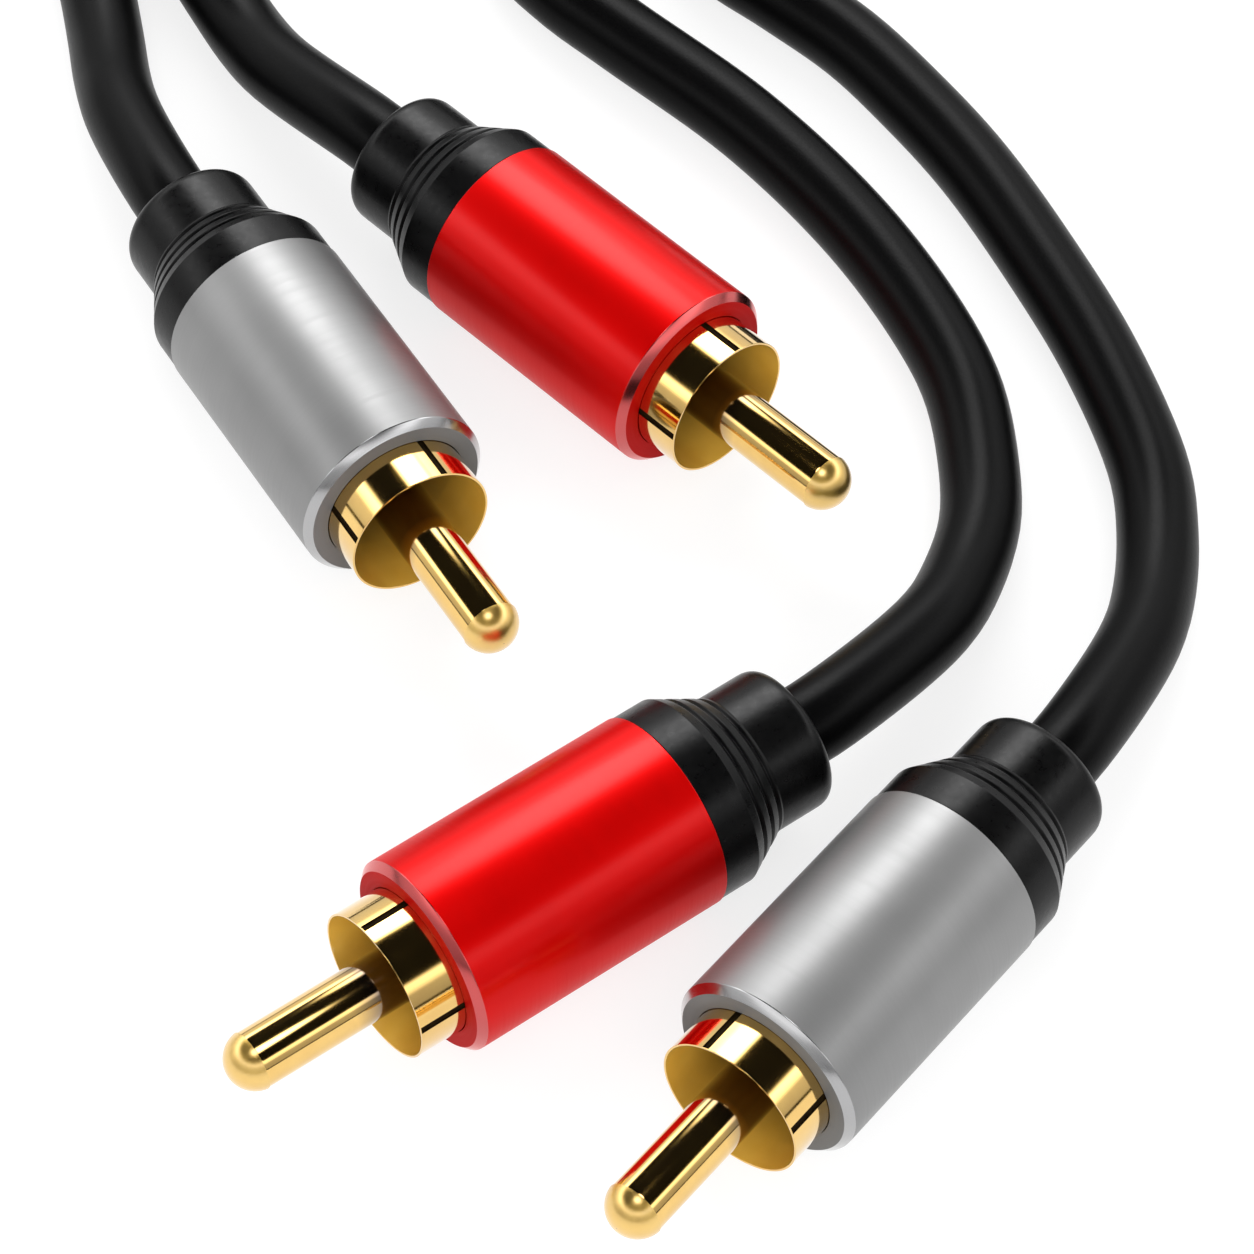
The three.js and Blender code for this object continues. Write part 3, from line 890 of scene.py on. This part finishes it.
# Centre pins. Each is turned from brass and gold-plated: a round tip with a fine edge where
# it meets the shaft, and behind the insulator a tail with a cup for the soldered core.
PIN_LENGTH = 12.1 * MM
PIN_FOOT = 5.5 * MM
PIN_TAIL = 11.6 * MM
TAIL_RADIUS = 1 * MM
TAIL_SHOULDER = 0.3 * MM
CUP_MIDDLE = 0.02 * MM
CUP_RADIUS = 0.65 * MM
CUP_DEPTH = 2 * MM
CUP_EDGE = 0.03 * MM
PIN_ROUND = 0.1 * MM
DOME_EDGE = 0.05 * MM
DOME_START = math.radians(8)
DOME_END = math.radians(89)
DOME_ROWS = 28
NECK_STARTS = 0.1 * MM
NECK_ENDS = 0.03 * MM
# Painted shade on the shaft near and inside the collar's cup: where it starts, where it is full,
# and its colour.
SHAFT_BRIGHT = 2 * MM
SHAFT_DARK = 0.3 * MM
SHAFT_PAINTED_SHADE = (0.1, 0.045, 0.008, 1)


def pin_profile():
    """Outline from the bottom of the solder cup, over the tail and shaft, to the round tip.

    The tip is an arc from a few degrees to the top. Its foot is a little wider than the pin,
    which leaves the fine edge round its base.
    """
    dome = (PIN_RADIUS + DOME_EDGE) / math.cos(DOME_START)
    base = PIN_LENGTH - dome * (1 - math.sin(DOME_START))
    angle = np.linspace(DOME_START, DOME_END, DOME_ROWS)
    rise = np.sin(angle) - math.sin(DOME_START)
    tip = np.stack([dome * np.cos(angle), base + dome * rise], axis=1)
    body = filleted(
        [
            (CUP_MIDDLE, CUP_DEPTH - PIN_TAIL),
            (CUP_RADIUS, CUP_DEPTH - PIN_TAIL),
            (CUP_RADIUS, -PIN_TAIL),
            (TAIL_RADIUS, -PIN_TAIL),
            (TAIL_RADIUS, -PIN_FOOT - TAIL_SHOULDER),
            (PIN_RADIUS, -PIN_FOOT),
            (PIN_RADIUS, base - NECK_STARTS),
            (PIN_RADIUS - DOME_EDGE / 2, base - NECK_ENDS),
        ],
        [0, PIN_ROUND, CUP_EDGE, CUP_EDGE, PIN_ROUND, PIN_ROUND, 0, 0],
        4,
    )
    return np.concatenate([body, tip])


gold_pin = gold_material("gold_pin", 0.09)
gold_tip = gold_material("gold_tip", 0.34, (0.8, 0.49, 0.08), (0.86, 0.55, 0.1), coat_rough=0.24)
pin_outline = pin_profile()
shaft_end = lengths_along(pin_outline)[-DOME_ROWS - 1]
in_cup = shaft_end - (PIN_LENGTH - PIN_RADIUS - COLLAR_REACH)
# The shaft's gold fades into painted shade and painted reflection near and inside the collar's
# cup.
paint_shade_inwards(gold_pin, in_cup + SHAFT_BRIGHT, in_cup + SHAFT_DARK, SHAFT_PAINTED_SHADE)
on_tip = np.arange(len(pin_outline) - 1)[:, None] >= len(pin_outline) - DOME_ROWS

for plug in PLUGS:
    finish = [gold_pin, gold_tip]
    piece = turned(f"{plug}_pin_turned", pin_outline, plug, finish, on_tip, sharp=28, loop=False)
    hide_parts(f"{plug}_pin")


# Floor, backdrop and lamps. The object lies on white card in a white studio, lit softly from
# behind and above and from the front. Shiny surfaces see a bright band above the horizon, a
# dark ceiling, and the round glow of two lamps in it.
FLOOR_SIZE = 3.0
FLOOR_COLOUR = 0.3
FLOOR_LIFT = 0.76
SKY_FRONT = 1
SKY_BACK = 0.4
SKY_FRONT_SHINE = 0.6
SKY_FRONT_ENDS = (-0.4, 0.05)
SOFTBOX_DISTANCE = 1.0
SOFTBOX_AIM = np.array([0, 0.01, 0])

# Each glow's azimuth and elevation, the angles within which it is full and past which it is
# out, and its level. Then the levels of the sky by the sine of the elevation.
GLOWS = [((93, 46), (4, 18), 9), ((-90, 78), (3, 14), 6)]
SKY_LEVELS = [
    (0.0, 0.02), (0.05, 0.02), (0.07, 0.8), (0.36, 1.0),
    (0.46, 3.0), (0.56, 3.6), (0.63, 0.01),
]


def floor_material():
    """Pale card: its colour throws little light back up, and its looks are lifted to white.

    The lift is light of its own that only the camera and shiny or clear surfaces see.
    """
    material = bpy.data.materials.new("floor_card")
    material.use_nodes = True
    tree = material.node_tree
    tree.nodes.clear()
    card_colour = (FLOOR_COLOUR, FLOOR_COLOUR, FLOOR_COLOUR, 1)
    card = add_node(material, "ShaderNodeBsdfDiffuse", {"Color": card_colour})
    ray = add_node(material, "ShaderNodeLightPath")
    seen = ray.outputs["Is Camera Ray"]
    for kind in ("Is Glossy Ray", "Is Transmission Ray"):
        larger = add_node(material, "ShaderNodeMath")
        larger.operation = "MAXIMUM"
        tree.links.new(seen, larger.inputs[0])
        tree.links.new(ray.outputs[kind], larger.inputs[1])
        seen = larger.outputs["Value"]
    share = add_node(material, "ShaderNodeMath", {1: FLOOR_LIFT})
    share.operation = "MULTIPLY"
    tree.links.new(seen, share.inputs[0])
    lift = add_node(material, "ShaderNodeEmission", Strength=(share, "Value"))
    both = add_node(material, "ShaderNodeAddShader")
    tree.links.new(card.outputs[0], both.inputs[0])
    tree.links.new(lift.outputs[0], both.inputs[1])
    add_node(material, "ShaderNodeOutputMaterial", Surface=(both, "Shader"))
    return material


floor_mesh = bpy.data.meshes.new("floor")
edge = FLOOR_SIZE / 2
corners = [(-edge, -edge, 0), (edge, -edge, 0), (edge, edge, 0), (-edge, edge, 0)]
floor_mesh.from_pydata(corners, [], [(0, 1, 2, 3)])
floor_mesh.materials.append(floor_material())
floor = bpy.data.objects.new("floor", floor_mesh)
bpy.context.scene.collection.objects.link(floor)

world = bpy.data.worlds.new("studio")
world.use_nodes = True
bpy.context.scene.world = world
links, nodes = world.node_tree.links, world.node_tree.nodes


def by_direction(axis, low, high, at_low, at_high):
    """Map Range of one component of the direction that a ray leaves in."""
    node = nodes.new("ShaderNodeMapRange")
    limits = {"From Min": low, "From Max": high, "To Min": at_low, "To Max": at_high}
    for socket, value in limits.items():
        node.inputs[socket].default_value = value
    links.new(towards.outputs[axis], node.inputs["Value"])
    return node.outputs["Result"]


def mixed(factor, first, second, blend="MIX"):
    """Mix of two colours. Each is an output of another node, or a grey level."""
    node = nodes.new("ShaderNodeMixRGB")
    node.blend_type = blend
    for socket, value in (("Fac", factor), ("Color1", first), ("Color2", second)):
        if isinstance(value, bpy.types.NodeSocket):
            links.new(value, node.inputs[socket])
        elif socket == "Fac":
            node.inputs[socket].default_value = value
        else:
            node.inputs[socket].default_value = (value, value, value, 1)
    return node.outputs["Color"]


def unit(azimuth, elevation):
    """Unit vector of a bearing that counts from +X towards +Y, and an elevation, in degrees."""
    a, e = math.radians(azimuth), math.radians(elevation)
    return np.array([math.cos(a) * math.cos(e), math.sin(a) * math.cos(e), math.sin(e)])


def glow(azimuth, elevation, full, none, level):
    """Round soft light in the sky: the level within the first angle, and 0 past the second."""
    product = nodes.new("ShaderNodeVectorMath")
    product.operation = "DOT_PRODUCT"
    links.new(direction.outputs["Generated"], product.inputs[0])
    product.inputs[1].default_value = unit(azimuth, elevation)
    fade = nodes.new("ShaderNodeMapRange")
    fade.interpolation_type = "SMOOTHSTEP"
    fade.inputs["From Min"].default_value = math.cos(math.radians(none))
    fade.inputs["From Max"].default_value = math.cos(math.radians(full))
    fade.inputs["To Max"].default_value = level
    links.new(product.outputs["Value"], fade.inputs["Value"])
    return fade.outputs["Result"]


direction = nodes.new("ShaderNodeTexCoord")
towards = nodes.new("ShaderNodeSeparateXYZ")
links.new(direction.outputs["Generated"], towards.inputs["Vector"])
ceiling = nodes.new("ShaderNodeValToRGB")
links.new(towards.outputs["Z"], ceiling.inputs["Fac"])
stops = ceiling.color_ramp.elements
while len(stops) < len(SKY_LEVELS):
    stops.new(0.5)
for stop, (position, level) in zip(stops, SKY_LEVELS):
    stop.position = position
    stop.color = (level, level, level, 1)
path = nodes.new("ShaderNodeLightPath")
front_dim = by_direction("Y", *SKY_FRONT_ENDS, SKY_FRONT_SHINE, 1)
shiny = mixed(1, ceiling.outputs["Color"], front_dim, "MULTIPLY")
for (azimuth, elevation), (full, none), level in GLOWS:
    shiny = mixed(1, shiny, glow(azimuth, elevation, full, none, level), "ADD")
soft = by_direction("Y", -1, 1, SKY_FRONT, SKY_BACK)
lit = mixed(path.outputs["Is Glossy Ray"], soft, shiny)
seen = mixed(path.outputs["Is Camera Ray"], lit, 1)
links.new(seen, nodes["Background"].inputs["Color"])


def softbox(name, azimuth, elevation, size, radiance):
    """Rectangular lamp aimed at the object, from a bearing that counts from +X towards +Y.

    An area lamp's power in watts is its radiance times pi times its area. Shiny surfaces
    see the sky's glows in place of it.
    """
    lamp = bpy.data.lights.new(name, "AREA")
    lamp.shape = "RECTANGLE"
    lamp.size, lamp.size_y = size
    lamp.energy = radiance * math.pi * size[0] * size[1]
    holder = bpy.data.objects.new(name, lamp)
    holder.location = SOFTBOX_AIM + SOFTBOX_DISTANCE * unit(azimuth, elevation)
    holder.rotation_euler = (math.radians(90 - elevation), 0, math.radians(azimuth + 90))
    holder.visible_glossy = False
    bpy.context.scene.collection.objects.link(holder)


softbox("softbox_back", azimuth=93, elevation=46, size=(0.73, 0.55), radiance=4.5)
softbox("softbox_front", azimuth=-90, elevation=30, size=(1.2, 0.7), radiance=3)

bpy.context.scene.view_settings.view_transform = "Standard"
